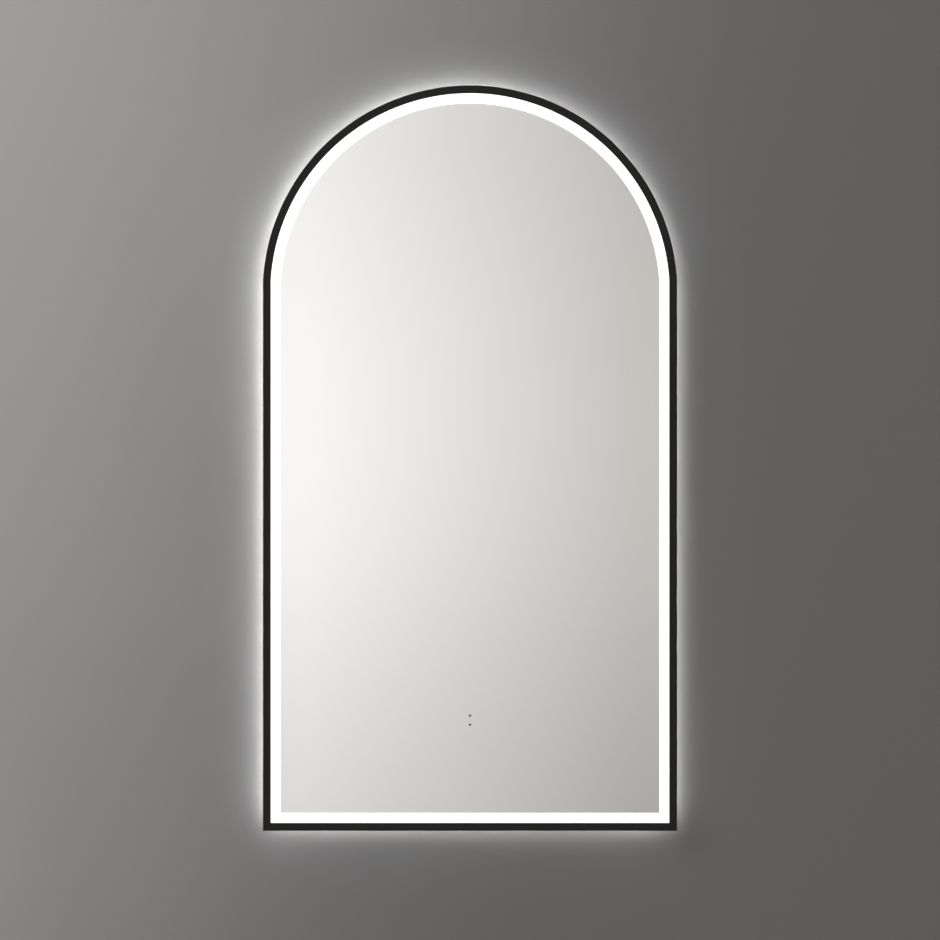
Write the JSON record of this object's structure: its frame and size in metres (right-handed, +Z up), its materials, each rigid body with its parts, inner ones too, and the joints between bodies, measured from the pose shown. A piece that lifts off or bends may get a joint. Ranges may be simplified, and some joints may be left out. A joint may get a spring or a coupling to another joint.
{
  "type": "lighted bathroom mirror",
  "caption": "Tall arched mirror in a narrow black frame with a lit band round the glass, a soft halo on the wall behind, and a rail that hooks onto the wall.",
  "frame": {"origin": "on the wall plane, midway between the two screw holes of the wall rail", "axes": "+Z up, +X to the right seen from the front, the mirror faces -Y and the wall is the plane Y = 0"},
  "size_m": [0.5, 0.038, 0.9],
  "materials": {
    "black_frame": "fine matt black powder coat on aluminium",
    "zinc_steel": "galvanised sheet steel",
    "screw_steel": "zinc-plated",
    "mill_aluminium": "mill finish",
    "clear_glass": "polished float glass",
    "silvering": "silvered, painted at the back",
    "opal_front": "opal acrylic, lit from behind",
    "opal_halo": "opal acrylic, lit from inside",
    "strip_white": "white flexible circuit strip",
    "led_chip": "phosphor-coated chip",
    "black_rubber": "moulded",
    "foam_tape": "double-sided foam tape",
    "box_plastic": "fine texture",
    "driver_plastic": "fine texture",
    "terminal_plastic": "smooth moulded",
    "gland_plastic": "smooth moulded",
    "heater_film": "polyester film with metal tracks inside",
    "sensor_plastic": "fine texture",
    "board_green": "solder mask",
    "diode_clear": "clear epoxy",
    "diode_dark": "dark filtering epoxy",
    "lead_white": "PVC sheath",
    "lead_black": "PVC sheath",
    "saddle_plastic": "moulded nylon"
  },
  "bodies": {
    "wall": {"wall_rail": "mill_aluminium"},
    "mirror": {"frame_arch": "black_frame", "frame_left_leg": "black_frame", "frame_right_leg": "black_frame", "frame_bottom_rail": "black_frame", "corner_keys": "zinc_steel", "splice_keys": "zinc_steel", "key_screws": "screw_steel", "mirror_glass": "clear_glass", "mirror_silvering": "silvering", "front_diffuser": "opal_front", "halo_diffuser": "opal_halo", "setting_blocks": "black_rubber", "front_led_strip": "strip_white", "front_leds": "led_chip", "halo_led_strip": "strip_white", "halo_leds": "led_chip", "upper_crossbar": "zinc_steel", "lower_crossbar": "zinc_steel", "gear_tray": "zinc_steel", "frame_screws": "screw_steel", "hanger_rail": "mill_aluminium", "hanger_screws": "screw_steel", "hanger_nuts": "screw_steel", "wall_bumpers": "black_rubber", "control_box_base": "box_plastic", "control_box_lid": "box_plastic", "control_box_screws": "screw_steel", "box_tapes": "foam_tape", "led_driver": "driver_plastic", "terminal_block": "terminal_plastic", "cable_gland": "gland_plastic", "gland_locknut": "gland_plastic", "lead_grommets": "black_rubber", "demister_pad": "heater_film", "demister_cap": "box_plastic", "sensor_housing": "sensor_plastic", "sensor_cover": "sensor_plastic", "sensor_board": "board_green", "ir_emitter": "diode_clear", "ir_receiver": "diode_dark", "front_led_lead": "lead_white", "halo_led_lead": "lead_white", "demister_lead": "lead_white", "sensor_lead": "lead_black", "cable_saddles": "saddle_plastic"}
  },
  "joints": [
    {"name": "lift_off", "type": "slide", "parent": "wall", "child": "mirror", "axis": [0, 0, 1], "range_m": [0, 0.012]}
  ]
}
